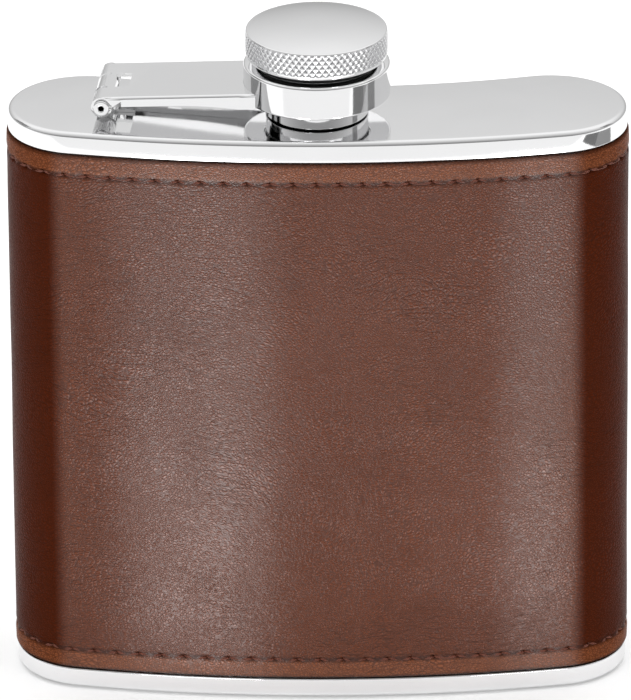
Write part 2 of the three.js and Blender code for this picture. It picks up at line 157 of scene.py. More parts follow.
# ---- hinge and arm ----
HINGE_SPAN = 32.1
HINGE_BACK = 2.7
PIN_HEIGHT = 2.45
BRACKET_SHEET = 0.4
PIN_RADIUS = 0.75
PIN_BORE = 0.4
PIN_HEAD_RADIUS = 1.25
PIN_HEAD_THICKNESS = 0.35
BARREL_RADIUS = 1.6
BARREL_BORE = 1.0
EAR_SPACING = 5.1
EAR_RADIUS = 1.25
EAR_FOOT_BACK = 1.2
FOOT_FRONT = 4.6
SLOT_RADIUS = 1.7
SLOT_WIDTH = 0.62
ARM_WIDTH = 14.2
ARM_BEND = 0.45
ARM_SLOPE = math.radians(3.2)
FLANGE_DEPTH = 1.55
FLANGE_DEPTH_AT_RING = 2.4
WINDOW_START = 1.4
WINDOW_LENGTH = 2.4
WINDOW_WIDTH = 5.3
EDGE_BREAK = 0.07
BRACKET_EDGE_BREAK = 0.06
BREAK_ANGLE = 35  # degrees; edges sharper than this are rounded
FLAT_WEIGHT = 60

# ---- stage, in metres ----
FLOOR_HALF = 6
FLOOR_DROP = -0.0002  # keeps the floor clear of the flask's underside
STAND_HEIGHTS = (0.2, 0.5)
BOARD_DEPTHS = (-0.025, -0.145)  # the white boards' ends, by the flask and toward the viewer
LAMP_AIM = Vector((0, 0, 0.05))
# a direction's part along one axis, from and to, and the brightness there, from and to
SKY_RISE = (0.1, 0.75, 0.48, 1.08)
SKY_DEPTH = (-0.85, 0.2, 0.5, 1.0)  # the studio behind the viewer is darker

# ---- camera; angles in degrees, AIM in millimetres ----
CAMERA_AZIMUTH = 0.95
CAMERA_ELEVATION = 24.0
CAMERA_ROLL = -0.46
CAMERA_DISTANCE = 1743.95
CAMERA_LENS = 582.8
AIM = (-0.57, -2.26, 46.7)
AIM_RISE = 6.62  # along the picture's upright, from AIM to its middle


# ---- meshes ----
def signed_volume(points, faces):
    """Six times the volume the faces close, negative when they are wound inside out."""
    total = 0.0
    for group in faces:
        a = points[group[:, 0]]
        for k in range(1, group.shape[1] - 1):
            total += np.einsum(
                "ij,ij->i", a, np.cross(points[group[:, k]], points[group[:, k + 1]])
            ).sum()
    return total


def make_object(name, points, faces):
    """points in millimetres, faces as a list of index arrays, each with its own face size."""
    points = np.asarray(points, float)
    faces = [np.asarray(group, int) for group in faces if len(group)]
    if signed_volume(points, faces) < 0:
        faces = [group[:, ::-1] for group in faces]
    mesh = bpy.data.meshes.new(name)
    rows = [face for group in faces for face in group.tolist()]
    mesh.from_pydata((points * MM).tolist(), [], rows)
    mesh.validate()
    for polygon in mesh.polygons:
        polygon.use_smooth = True
    obj = bpy.data.objects.new(name, mesh)
    bpy.context.scene.collection.objects.link(obj)
    return obj


def sharpen(obj, degrees):
    obj.data.set_sharp_from_angle(angle=math.radians(degrees))


def smooth(obj):
    for polygon in obj.data.polygons:
        polygon.use_smooth = True


def around(steps):
    return 2 * math.pi * np.arange(steps) / steps


def grid_faces(rows, columns, closed_rows):
    """Quads between rows of points, each row closed on itself."""
    j = np.arange(rows if closed_rows else rows - 1)[:, None]
    i = np.arange(columns)[None, :]
    up, right = (j + 1) % rows, (i + 1) % columns
    quads = np.stack([j * columns + i, j * columns + right, up * columns + right, up * columns + i], -1)
    return quads.reshape(-1, 4)


def weld(obj):
    work = bmesh.new()
    work.from_mesh(obj.data)
    bmesh.ops.remove_doubles(work, verts=work.verts, dist=WELD_DISTANCE)
    work.to_mesh(obj.data)
    work.free()


def rounded(corners, steps=5, support=0.06):
    """Closed outline from (a, b, radius) corners, with arcs and a point close to each arc's ends."""
    points = []
    count = len(corners)
    for k, (a, b, radius) in enumerate(corners):
        here = np.array((a, b), float)
        if radius <= 0:
            points.append(here)
            continue
        before = np.array(corners[k - 1][:2], float) - here
        after = np.array(corners[(k + 1) % count][:2], float) - here
        reach_before, reach_after = np.linalg.norm(before), np.linalg.norm(after)
        u, v = before / reach_before, after / reach_after
        half = math.acos(max(-1.0, min(1.0, float(u @ v)))) / 2
        reach = min(radius / math.tan(half), 0.44 * reach_before, 0.44 * reach_after)
        radius = reach * math.tan(half)
        middle = u + v
        centre = here + middle / np.linalg.norm(middle) * radius / math.sin(half)
        start, end = here + u * reach - centre, here + v * reach - centre
        first = math.atan2(start[1], start[0])
        turn = math.atan2(end[1], end[0]) - first
        turn = (turn + math.pi) % (2 * math.pi) - math.pi
        points.append(here + u * min(reach + support, 0.48 * reach_before))
        for t in np.linspace(0, 1, steps + 1):
            angle = first + turn * t
            points.append(centre + radius * np.array((math.cos(angle), math.sin(angle))))
        points.append(here + v * min(reach + support, 0.48 * reach_after))
    return np.array(points)


def lathe(name, outline, steps=160, centre=(0.0, 0.0, 0.0)):
    """Turns a closed (radius, z) outline about the upright axis through centre."""
    outline = np.asarray(outline, float)
    angle = around(steps)
    radius, height = outline[:, 0][:, None], outline[:, 1][:, None]
    points = np.stack(
        [
            centre[0] + radius * np.cos(angle),
            centre[1] + radius * np.sin(angle),
            centre[2] + height + 0 * angle,
        ],
        -1,
    ).reshape(-1, 3)
    on_axis = outline[0, 0] < 1e-9
    obj = make_object(name, points, [grid_faces(len(outline), steps, not on_axis)])
    if on_axis:
        weld(obj)
    return obj


# ---- the body's plan: points, outward normals and lengths round the leather's face ----
def end_circle():
    front_centre = FRONT_RADIUS - BODY_THICKNESS / 2
    back_centre = BACK_RADIUS + BODY_THICKNESS / 2
    low, high = 0.0, BODY_WIDTH / 2
    for _ in range(60):
        radius = (low + high) / 2
        along = BODY_WIDTH / 2 - radius
        from_front = front_centre - math.sqrt((FRONT_RADIUS - radius) ** 2 - along**2)
        from_back = back_centre - math.sqrt((BACK_RADIUS + radius) ** 2 - along**2)
        if from_front < from_back:
            low = radius
        else:
            high = radius
    return front_centre, back_centre, radius, along, from_front


FRONT_CENTRE, BACK_CENTRE, END_RADIUS, END_X, END_Y = end_circle()
PLAN_SHIFT = (BODY_THICKNESS / 2 - END_Y - END_RADIUS) / 2


class Plan:
    """The outline walked counter-clockwise from the middle of the back."""

    def __init__(self, spacing):
        front = math.atan2(END_Y - FRONT_CENTRE, END_X)
        back = math.atan2(END_Y - BACK_CENTRE, END_X)
        turn = math.atan2(BACK_CENTRE - END_Y, -END_X)
        middle = -math.pi / 2
        parts = [
            (0, BACK_CENTRE, BACK_RADIUS, middle, -math.pi - back, -1),
            (-END_X, END_Y, END_RADIUS, math.pi - turn, math.pi - front, 1),
            (0, FRONT_CENTRE, FRONT_RADIUS, -math.pi - front, front, 1),
            (END_X, END_Y, END_RADIUS, front, turn, 1),
            (0, BACK_CENTRE, BACK_RADIUS, back, middle, -1),
        ]
        points, normals, lengths, done = [], [], [], 0.0
        for cx, cy, radius, start, stop, side in parts:
            length = abs(stop - start) * radius
            count = max(3, round(length / spacing))
            share = np.arange(count) / count
            angle = start + (stop - start) * share
            ray = np.stack([np.cos(angle), np.sin(angle)], 1)
            points.append(np.array((cx, cy + PLAN_SHIFT)) + radius * ray)
            normals.append(side * ray)
            lengths.append(done + length * share)
            done += length
        self.points = np.concatenate(points)
        self.normals = np.concatenate(normals)
        self.lengths = np.concatenate(lengths)
        self.total = done

    def ring(self, inset, z):
        """One row of points at an inset and a height, each a number or one per point."""
        flat = self.points - self.normals * np.asarray(inset).reshape(-1, 1)
        height = np.broadcast_to(z, len(flat))
        return np.column_stack([flat, height])

    def at(self, length):
        """Point and normal at lengths round the plan."""
        length = np.asarray(length) % self.total
        lengths = np.append(self.lengths, self.total)
        out = []
        for values in (self.points, self.normals):
            closed = np.vstack([values, values[:1]])
            out.append(np.stack([np.interp(length, lengths, closed[:, k]) for k in (0, 1)], -1))
        return out


# ---- materials ----
class Nodes:
    """Short names for the node calls that every material here uses."""

    def __init__(self, name):
        self.material = bpy.data.materials.new(name)
        self.material.use_nodes = True
        self.tree = self.material.node_tree
        self.shader = self.tree.nodes["Principled BSDF"]
        self.coords = self.add("ShaderNodeTexCoord").outputs["Object"]

    def add(self, kind, inputs=None, **settings):
        node = self.tree.nodes.new(kind)
        for key, value in settings.items():
            setattr(node, key, value)
        for key, value in (inputs or {}).items():
            self.put(node.inputs[key], value)
        return node

    def put(self, socket, value):
        if isinstance(value, bpy.types.NodeSocket):
            self.tree.links.new(value, socket)
        else:
            socket.default_value = value

    def set(self, **values):
        for key, value in values.items():
            self.put(self.shader.inputs[key.replace("_", " ")], value)

    def stretch(self, scale, turn=(0, 0, 0), source=None):
        return self.add(
            "ShaderNodeMapping",
            {"Vector": source or self.coords, "Rotation": turn, "Scale": scale},
        ).outputs["Vector"]

    def noise(self, vector, scale, detail=3.0, roughness=0.5, distortion=0.0):
        return self.add(
            "ShaderNodeTexNoise",
            {
                "Vector": vector,
                "Scale": scale,
                "Detail": detail,
                "Roughness": roughness,
                "Distortion": distortion,
            },
        ).outputs["Fac"]

    def cells(self, vector, scale):
        return self.add(
            "ShaderNodeTexVoronoi",
            {"Vector": vector, "Scale": scale},
            feature="DISTANCE_TO_EDGE",
        ).outputs["Distance"]

    def span(self, value, low, high, to_low=0.0, to_high=1.0, smooth=False):
        return self.add(
            "ShaderNodeMapRange",
            {"Value": value, "From Min": low, "From Max": high, "To Min": to_low, "To Max": to_high},
            interpolation_type="SMOOTHSTEP" if smooth else "LINEAR",
        ).outputs["Result"]

    def math(self, operation, a, b=0.0):
        node = self.add("ShaderNodeMath", operation=operation)
        self.put(node.inputs[0], a)
        self.put(node.inputs[1], b)
        return node.outputs[0]

    def vector_math(self, operation, inputs):
        return self.add("ShaderNodeVectorMath", inputs, operation=operation).outputs["Vector"]

    def blend(self, factor, a, b):
        node = self.add("ShaderNodeMix", data_type="RGBA", blend_type="MIX")
        self.put(node.inputs["Factor"], factor)
        self.put(node.inputs["A"], a)
        self.put(node.inputs["B"], b)
        return node.outputs["Result"]

    def axis(self, name):
        return self.add("ShaderNodeSeparateXYZ", {"Vector": self.coords}).outputs[name]

    def bump(self, height, distance, strength=1.0, normal=None):
        inputs = {"Height": height, "Distance": distance, "Strength": strength}
        if normal is not None:
            inputs["Normal"] = normal
        return self.add("ShaderNodeBump", inputs).outputs["Normal"]


def polished_steel(name, tint, roughness, spread, grain, grain_bump):
    """Mirror steel with faint buffing lines along grain, hand smudges and uneven gloss."""
    m = Nodes(name)
    lines = m.noise(m.stretch(grain), 1.0, 4.0, 0.65)
    smudge = m.noise(m.coords, 55.0, 3.0, 0.55, 0.6)
    gloss = m.math("ADD", m.span(lines, 0.3, 0.7), m.span(smudge, 0.35, 0.75, 0, 1.4))
    m.set(
        Base_Color=m.blend(
            m.span(smudge, 0.3, 0.7, 0.0, 1.0),
            (*tint, 1),
            (*[c * 0.965 for c in tint], 1),
        ),
        Metallic=1.0,
        Roughness=m.span(gloss, 0.0, 2.4, roughness, roughness + spread),
        Normal=m.bump(lines, grain_bump, 1.0),
    )
    return m.material


def leather_material():
    m = Nodes("glossy_grained_leather")
    x, z = m.axis("X"), m.axis("Z")
    # the grain's direction drifts over the hide
    drift = m.add(
        "ShaderNodeTexNoise",
        {"Vector": m.coords, "Scale": 42.0, "Detail": 2.0, "Roughness": 0.5},
    ).outputs["Color"]
    drift = m.vector_math("SUBTRACT", {0: drift, 1: (0.5, 0.5, 0.5)})
    drift = m.vector_math("SCALE", {0: drift, "Scale": 0.012})
    hide = m.vector_math("ADD", {0: m.coords, 1: drift})

    pebble = m.cells(m.stretch((1, 1, 1.35), (0, math.radians(28), 0), hide), 1950.0)
    pebble = m.span(pebble, 0.0, 0.34, 0.0, 1.0, True)
    fine = m.noise(m.stretch((1, 1, 1.8), (0, math.radians(24), 0), hide), 3400.0, 2.0)
    crease = m.cells(m.stretch((0.34, 0.5, 1.5), (0, math.radians(30), 0), hide), 560.0)
    crease = m.span(crease, 0.0, 0.06, 0.0, 1.0, True)
    worn = m.noise(hide, 48.0, 3.0, 0.55)
    crease_here = m.span(worn, 0.42, 0.62, 0.0, 1.0, True)
    swell = m.noise(hide, 160.0, 3.0, 0.5)

    tone = m.noise(m.stretch((1, 1, 0.7), (0, 0.5, 0)), 30.0, 4.0, 0.6)
    colour = m.blend(m.span(tone, 0.3, 0.7), LEATHER_DARK, LEATHER_MIDDLE)
    colour = m.blend(m.span(tone, 0.3, 0.7, 0.35, 0.9), LEATHER_MIDDLE, colour)
    # the rounded ends get a darker, redder colour, which is painted shade, and less gloss; both placed
    # to match the photo
    end = m.span(m.math("ABSOLUTE", x), END_START, END_FULL, 0.0, 1.0, True)
    colour = m.blend(end, colour, LEATHER_END_PAINTED_SHADE)
    # the gloss is higher in two broad upright bands, also placed to match the photo
    bands = [
        m.span(m.math("ABSOLUTE", m.math("SUBTRACT", x, centre)), full, plain, 1, 0, True)
        for centre, full, plain in GLOSS_BANDS
    ]
    polish = m.span(m.math("MAXIMUM", *bands), 0.0, 1.0, GLOSS_PLAIN, GLOSS_BAND)
    # turned hems beyond the stitch lines are a warmer brown
    hems = [
        m.span(z, (line - side * HEM_FADE_START) * MM, (line + side * HEM_FADE_END) * MM, 0, 1, True)
        for line, side in ((TOP_STITCH_Z, 1), (BASE_STITCH_Z, -1))
    ]
    hem = m.math("MAXIMUM", *hems)
    colour = m.blend(m.math("MULTIPLY", hem, 0.7), colour, LEATHER_WARM)
    # pores and creases hold more dye
    colour = m.blend(m.span(pebble, 0.0, 0.6, 0.6, 0.0), colour, LEATHER_PORE)
    creased = m.math("MULTIPLY", m.span(crease, 0.0, 1.0, 0.3, 0.0), crease_here)
    colour = m.blend(creased, colour, LEATHER_PORE)
    # dye burnt darker along the stitch lines and the cut edges
    near_top = m.math("ABSOLUTE", m.math("SUBTRACT", z, TOP_STITCH_Z * MM))
    near_base = m.math("ABSOLUTE", m.math("SUBTRACT", z, BASE_STITCH_Z * MM))
    stitch = m.span(m.math("MINIMUM", near_top, near_base), 0.0001, 0.0007, 0.75, 0.0, True)
    high, low = LEATHER_HIGH[2], LEATHER_LOW[2]
    edge = m.math(
        "MAXIMUM",
        m.span(z, (high - EDGE_DYE_REACH) * MM, high * MM, 0, 0.7, True),
        m.span(z, (low + EDGE_DYE_REACH) * MM, low * MM, 0, 0.7, True),
    )
    colour = m.blend(m.math("MAXIMUM", stitch, edge), colour, LEATHER_BURNT)

    normal = m.bump(swell, 0.00022, 0.55)
    normal = m.bump(
        m.math("MULTIPLY", m.math("SUBTRACT", crease, 1.0), crease_here),
        0.00005,
        0.9,
        normal,
    )
    normal = m.bump(pebble, 0.00006, 1.0, normal)
    normal = m.bump(fine, 0.00005, 0.8, normal)
    rough = m.span(
        m.math("ADD", m.math("MULTIPLY", fine, 0.5), m.math("MULTIPLY", pebble, 0.5)),
        0.2,
        0.8,
        0.4,
        0.28,
    )
    m.set(
        Base_Color=colour,
        Roughness=rough,
        Normal=normal,
        Specular_IOR_Level=m.math("MULTIPLY", polish, m.span(end, 0.0, 1.0, 1.0, GLOSS_SHARE_AT_END)),
    )
    return m.material


def thread_material():
    m = Nodes("waxed_thread")
    twist = m.add(
        "ShaderNodeTexWave",
        {
            "Vector": m.stretch((1, 1, 1), (0, math.radians(35), 0)),
            "Scale": 1500.0,
            "Distortion": 1.5,
            "Detail": 2.0,
        },
    ).outputs["Fac"]
    fuzz = m.noise(m.coords, 5200.0, 3.0)
    m.set(
        Base_Color=m.blend(
            m.span(m.math("ADD", twist, fuzz), 0.4, 1.5),
            (0.07, 0.016, 0.008, 1),
            (0.2, 0.055, 0.027, 1),
        ),
        Roughness=m.span(fuzz, 0.3, 0.7, 0.45, 0.7),
        Normal=m.bump(m.math("ADD", twist, fuzz), 0.00003, 0.8),
        Specular_IOR_Level=0.5,
    )
    return m.material


def soft_material(name, grain_scale, stain_scale, clean, stained, roughness, grain_bump):
    m = Nodes(name)
    grain = m.noise(m.coords, grain_scale, 4.0)
    stain = m.noise(m.coords, stain_scale, 3.0)
    m.set(
        Base_Color=m.blend(m.span(stain, 0.35, 0.7), (*clean, 1), (*stained, 1)),
        Roughness=m.span(grain, 0.3, 0.7, *roughness),
        Normal=m.bump(grain, 0.00002, grain_bump),
    )
    return m.material


STEEL_TINT = (0.86, 0.86, 0.865)
KNURL_TINT = (0.64, 0.64, 0.65)
INNER_TINT = (0.66, 0.66, 0.665)
PLATE_STEEL = polished_steel("plate_steel", STEEL_TINT, 0.045, 0.05, (120, 2400, 2400), 0.0000012)
RIM_STEEL = polished_steel("rim_steel", STEEL_TINT, 0.05, 0.06, (90, 90, 3600), 0.0000016)
TURNED_STEEL = polished_steel("turned_steel", STEEL_TINT, 0.045, 0.05, (160, 160, 5200), 0.0000014)
ARM_STEEL = polished_steel("arm_steel", STEEL_TINT, 0.07, 0.07, (260, 3000, 3000), 0.0000018)
KNURL_STEEL = polished_steel("knurl_steel", KNURL_TINT, 0.2, 0.12, (1500, 1500, 1500), 0.000004)
INNER_STEEL = polished_steel("inner_steel", INNER_TINT, 0.2, 0.16, (220, 220, 4200), 0.000006)
LEATHER = leather_material()
THREAD = thread_material()
RUBBER = soft_material(
    "black_rubber", 2600.0, 180.0, (0.006, 0.006, 0.006), (0.016, 0.015, 0.015), (0.5, 0.7), 0.7
)
LINER = soft_material(
    "seal_liner", 1400.0, 220.0, (0.74, 0.71, 0.64), (0.64, 0.6, 0.52), (0.42, 0.6), 0.5
)


def hand_over(obj, material, body, slot, *nodes):
    obj.data.materials.clear()
    obj.data.materials.append(material)
    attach(obj, body)
    if nodes:
        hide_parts(*nodes)


# ---- booleans and edge breaks for the stamped pieces ----
def bake(obj):
    """Applies obj's modifiers to its mesh."""
    bpy.context.view_layer.update()
    graph = bpy.context.evaluated_depsgraph_get()
    made = bpy.data.meshes.new_from_object(obj.evaluated_get(graph))
    obj.modifiers.clear()
    obj.data = made


def combine(obj, tool, operation):
    modifier = obj.modifiers.new("combine", "BOOLEAN")
    modifier.operation = operation
    modifier.solver = "EXACT"
    modifier.object = tool
    bake(obj)
    bpy.data.objects.remove(tool)


def break_edges(obj, width, segments=3):
    """Rounds the sharp edges and keeps flat faces flat in shading."""
    bevel = obj.modifiers.new("break", "BEVEL")
    bevel.width = width * MM
    bevel.segments = segments
    bevel.limit_method = "ANGLE"
    bevel.angle_limit = math.radians(BREAK_ANGLE)
    bevel.harden_normals = False
    bake(obj)
    smooth(obj)
    weighted = obj.modifiers.new("flats", "WEIGHTED_NORMAL")
    weighted.mode = "FACE_AREA"
    weighted.weight = FLAT_WEIGHT


def block(name, low, high):
    x0, y0, z0 = low
    x1, y1, z1 = high
    points = [(x, y, z) for z in (z0, z1) for x, y in ((x0, y0), (x1, y0), (x1, y1), (x0, y1))]
    faces = [(0, 3, 2, 1), (4, 5, 6, 7), (0, 1, 5, 4), (1, 2, 6, 5), (2, 3, 7, 6), (3, 0, 4, 7)]
    return make_object(name, points, [faces])


def bar(name, radius, half_length, y=0.0, steps=64):
    """Round bar along Y."""
    angle = around(steps)
    rows = [
        np.stack([radius * np.cos(angle), 0 * angle + y + end, radius * np.sin(angle)], -1)
        for end in (-half_length, half_length)
    ]
    quads = grid_faces(2, steps, False)
    ends = [list(range(steps - 1, -1, -1)), list(range(steps, 2 * steps))]
    return make_object(name, np.concatenate(rows), [quads, np.array(ends)])


def extrude_side(name, outline, low, high):
    """Side view outline in x and z, as a plate from low to high along Y."""
    outline = np.asarray(outline, float)
    count = len(outline)
    rows = [np.column_stack([outline[:, 0], np.full(count, y), outline[:, 1]]) for y in (low, high)]
    quads = grid_faces(2, count, False)
    ends = np.array([list(range(count - 1, -1, -1)), list(range(count, 2 * count))])
    return make_object(name, np.concatenate(rows), [quads, ends])


def transform(obj, matrix):
    obj.data.transform(matrix)
    obj.data.update()


# ---- steel shell ----
def pan(name, depth_z, edge, skirt, crown, plan):
    """Pressed pan: skirt, rounded edge and a face; depth_z turns depth under the face into z."""
    face_inset = np.array([0.08, 0.3, 0.8, 1.6, 2.6, 3.8, 5.0, 6.2, 7.4, 8.6, 9.6, 10.4])
    rows = []
    for inset in face_inset[::-1]:
        share = min(1.0, inset / PLATE_CROWN_REACH)
        rise = crown * (1 - (1 - share) ** 2)
        rows.append((RIM_INSET + edge + inset, -rise))
    for t in np.linspace(0, math.pi / 2, 9):
        rows.append((RIM_INSET + edge * (1 - math.sin(t)), edge * (1 - math.cos(t))))
    rows += [
        (RIM_INSET, edge + 0.06), (RIM_INSET, skirt - 0.2), (RIM_INSET + 0.03, skirt - 0.05),
        (RIM_INSET + 0.12, skirt), (RIM_INSET + SHEET, skirt), (RIM_INSET + SHEET, edge + SHEET),
        (RIM_INSET + SHEET + 0.5, SHEET),
    ]
    points = np.concatenate([plan.ring(inset, depth_z(depth)) for inset, depth in rows])
    count = len(plan.points)
    quads = grid_faces(len(rows), count, False)
    top = list(range(count))[::-1]
    inner = list(range((len(rows) - 1) * count, len(rows) * count))
    return make_object(name, points, [quads, np.array([top]), np.array([inner])])


def tidy_caps(obj):
    """Cuts the two big end faces into triangles."""
    work = bmesh.new()
    work.from_mesh(obj.data)
    big = [f for f in work.faces if len(f.verts) > 4]
    bmesh.ops.triangulate(work, faces=big)
    work.to_mesh(obj.data)
    work.free()
    smooth(obj)


def build_shell():
    plan = Plan(0.8)
    skirt = PLATE_HIGH[2] - PLATE_LOW[2]
    plate = pan(
        "shoulder_pan", lambda depth: PLATE_Z - PLATE_CROWN - depth, TOP_EDGE,
        skirt - PLATE_CROWN, PLATE_CROWN, plan,
    )
    tidy_caps(plate)
    hole = bar("hole", NECK_RADIUS + 0.2, 6)
    transform(hole, Matrix.Rotation(math.pi / 2, 4, "X"))
    transform(hole, Matrix.Translation(Vector((NECK_X, NECK_Y, PLATE_Z)) * MM))
    combine(plate, hole, "DIFFERENCE")
    smooth(plate)
    sharpen(plate, 50)
    hand_over(plate, PLATE_STEEL, "flask", "polished_steel", "shoulder_plate")

    base = pan(
        "base_pan", lambda depth: BASE_LOW[2] + depth, BASE_EDGE,
        BASE_HIGH[2] - BASE_LOW[2], 0.0, plan,
    )
    tidy_caps(base)
    sharpen(base, 50)
    hand_over(base, RIM_STEEL, "flask", "polished_steel", "base_plate")

    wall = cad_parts["body_wall"]
    wall.data.materials.clear()
    wall.data.materials.append(INNER_STEEL)


# ---- leather and stitching ----
def stitch_count(plan):
    return round(plan.total / STITCH_PITCH)


def hole_pull(plan, z, line):
    """How far the stitching pulls the leather in, at heights z, for every column of the plan."""
    pitch = plan.total / stitch_count(plan)
    phase = (plan.lengths / pitch + 0.5) % 1.0 - 0.5
    along = phase * pitch
    across = z - line
    valley = STITCH_VALLEY * math.exp(-((across / STITCH_VALLEY_WIDTH) ** 2))
    pucker = 0.6 + 0.4 * np.cos(2 * math.pi * phase)
    slant = across + STITCH_SLANT * along
    hole = HOLE_DEPTH * np.exp(-((along / HOLE_LENGTH) ** 2) - (slant / HOLE_WIDTH) ** 2)
    swell = 0.035 * math.exp(-((abs(across) - 1.0) ** 2) / 0.25) * np.cos(2 * math.pi * phase)
    return valley * pucker + hole + swell


def hide_swell(plan, z):
    """Slow unevenness of the hide, in millimetres, from a few fixed waves."""
    s = plan.lengths * 2 * math.pi / plan.total
    total = np.zeros(len(s))
    for turns, rise, phase, size in HIDE_WAVES:
        total += size * np.sin(turns * s + rise * z + phase)
    return total


def leather_rows(low, high):
    """Heights of the outer face's rows: fine at the stitching, coarser between."""
    def fine(line):
        return list(np.arange(line - 1.5, line + 1.5, 0.12))

    rows = list(np.linspace(low + HEM_ROUND, BASE_STITCH_Z - 1.6, 5, endpoint=False))
    rows += fine(BASE_STITCH_Z)
    rows += list(np.linspace(BASE_STITCH_Z + 1.6, TOP_STITCH_Z - 1.6, 100))
    rows += fine(TOP_STITCH_Z)
    rows += list(np.linspace(TOP_STITCH_Z + 1.6, high - HEM_ROUND, 5))
    return rows


def build_leather():
    plan = Plan(0.28)
    low, high = LEATHER_LOW[2], LEATHER_HIGH[2]
    seam = (plan.lengths + plan.total / 2) % plan.total - plan.total / 2
    rows = [plan.ring(LEATHER_THICKNESS, low)]
    for t in np.linspace(0, math.pi / 2, 7)[:-1]:
        rows.append(plan.ring(HEM_ROUND * (1 - math.sin(t)), low + HEM_ROUND * (1 - math.cos(t))))
    for z in leather_rows(low, high):
        pull = hole_pull(plan, z, TOP_STITCH_Z) + hole_pull(plan, z, BASE_STITCH_Z)
        fade = min(1.0, (z - low) / 3, (high - z) / 3)
        pull = pull + hide_swell(plan, z) * fade
        # turned hem: a low crown between the stitch line and the edge
        for line, edge in ((TOP_STITCH_Z, high), (BASE_STITCH_Z, low)):
            share = (z - line) / (edge - line)
            if 0 < share < 1:
                pull = pull - HEM_CROWN * math.sin(math.pi * share)
        # one end of the wrap laps over the other down the back
        past = seam - SEAM_STEP_AT
        lap = SEAM_LAP / (1 + np.exp(-past / 0.05)) * np.exp(-np.clip(past, 0, None) / 3.5)
        between = BASE_STITCH_Z - 1 < z < TOP_STITCH_Z + 1
        groove, pits = 0.0, 0.0
        if between:
            groove = SEAM_GROOVE * np.exp(-((seam / STITCH_VALLEY_WIDTH) ** 2))
            down = ((z - BASE_STITCH_Z) / STITCH_PITCH + 0.5) % 1.0 - 0.5
            pits = HOLE_DEPTH * np.exp(
                -((down * STITCH_PITCH / HOLE_LENGTH) ** 2) - (seam / HOLE_WIDTH) ** 2
            )
        rows.append(plan.ring(pull + lap + groove + pits, z))
    for t in np.linspace(math.pi / 2, 0, 7)[1:]:
        rows.append(plan.ring(HEM_ROUND * (1 - math.sin(t)), high - HEM_ROUND * (1 - math.cos(t))))
    rows.append(plan.ring(LEATHER_THICKNESS, high))
    points = np.concatenate(rows)
    hide = make_object("leather_hide", points, [grid_faces(len(rows), len(plan.points), True)])
    sharpen(hide, 70)
    hand_over(hide, LEATHER, "flask", "leather", "leather_wrap")
    return plan


def tube(paths, radius, sides=8):
    """Tubes along paths of shape (points, 3), with closed ends; returns points and faces."""
    all_points, all_quads, all_caps, start = [], [], [], 0
    angle = around(sides)
    for path in paths:
        path = np.asarray(path)
        along = np.gradient(path, axis=0)
        along /= np.linalg.norm(along, axis=1)[:, None]
        reference = np.array((0.31, 0.17, 0.93))
        first = np.cross(along, reference)
        first /= np.linalg.norm(first, axis=1)[:, None]
        second = np.cross(along, first)
        ring = (
            path[:, None, :]
            + radius * np.cos(angle)[None, :, None] * first[:, None, :]
            + radius * np.sin(angle)[None, :, None] * second[:, None, :]
        )
        count = len(path)
        all_points.append(ring.reshape(-1, 3))
        all_quads.append(grid_faces(count, sides, False) + start)
        last = start + (count - 1) * sides
        all_caps.append(list(range(start + sides - 1, start - 1, -1)))
        all_caps.append(list(range(last, last + sides)))
        start += count * sides
    return np.concatenate(all_points), [np.concatenate(all_quads), np.array(all_caps)]


def stitch_depths():
    """Shares along one stitch and how deep the thread lies there."""
    share = np.linspace(0.0, 1.0, THREAD_STEPS)
    dive = np.exp(-((share / 0.1) ** 2)) + np.exp(-(((1 - share) / 0.1) ** 2))
    return share, THREAD_DEPTH_MIDDLE + THREAD_DEPTH_DIVE * np.clip(dive, 0, 1)


def add_thread(name, node, count, strand_path):
    """Both strands of every stitch, as tubes along strand_path(number, strand)."""
    paths = [strand_path(k, strand) for k in range(count) for strand in (-1, 1)]
    obj = make_object(name, *tube(paths, STRAND_RADIUS))
    hand_over(obj, THREAD, "flask", "thread", node)


def stitch_row(name, plan, line, node):
    count = stitch_count(plan)
    pitch = plan.total / count
    share, depth = stitch_depths()

    def strand_path(k, strand):
        bow = strand * STRAND_SPREAD * np.sin(math.pi * share) ** 0.6
        point, normal = plan.at((k + share) * pitch)
        inset = depth + STRAND_RADIUS + 0.02 * strand
        height = line + bow - STITCH_SLANT * (share - 0.5)
        return np.column_stack([point - normal * inset[:, None], height])

    add_thread(name, node, count, strand_path)


def build_stitching(plan):
    stitch_row("top_thread", plan, TOP_STITCH_Z, "top_stitching")
    stitch_row("base_thread", plan, BASE_STITCH_Z, "bottom_stitching")
    share, depth = stitch_depths()

    def seam_path(k, strand):
        offset = strand * STRAND_SPREAD * np.sin(math.pi * share) ** 0.6
        point, normal = plan.at(offset + 0.08 * (share - 0.5))
        height = BASE_STITCH_Z + (k + share) * STITCH_PITCH
        return np.column_stack([point - normal * (depth + STRAND_RADIUS)[:, None], height])

    count = int((TOP_STITCH_Z - BASE_STITCH_Z) / STITCH_PITCH)
    add_thread("seam_thread", "seam_stitching", count, seam_path)


# ---- neck, ring and cap ----
def helix_wall(radius, depth, pitch, low, high, fade, columns, step, inward=False):
    """Rows of a threaded wall, as (points, 3) rows from low to high."""
    angle = around(columns)
    rows = []
    for z in np.arange(low, high + step / 2, step):
        ease = np.clip(min((z - low) / fade, (high - z) / fade), 0, 1)
        phase = ((z - low) / pitch - angle / (2 * math.pi)) % 1.0
        ridge = np.clip(1.15 - 2.6 * np.abs(phase - 0.5), 0, 0.8) / 0.8
        r = radius + (-1 if inward else 1) * depth * ease * ridge
        rows.append(plain_row(r, z, columns))
    return rows


def plain_row(radius, z, columns):
    """One level row round the upright axis; radius is a number or one per column."""
    angle = around(columns)
    return np.stack([radius * np.cos(angle), radius * np.sin(angle), 0 * angle + z], -1)


def place_on_neck(points):
    return np.asarray(points) + np.array((NECK_X, NECK_Y, 0.0))


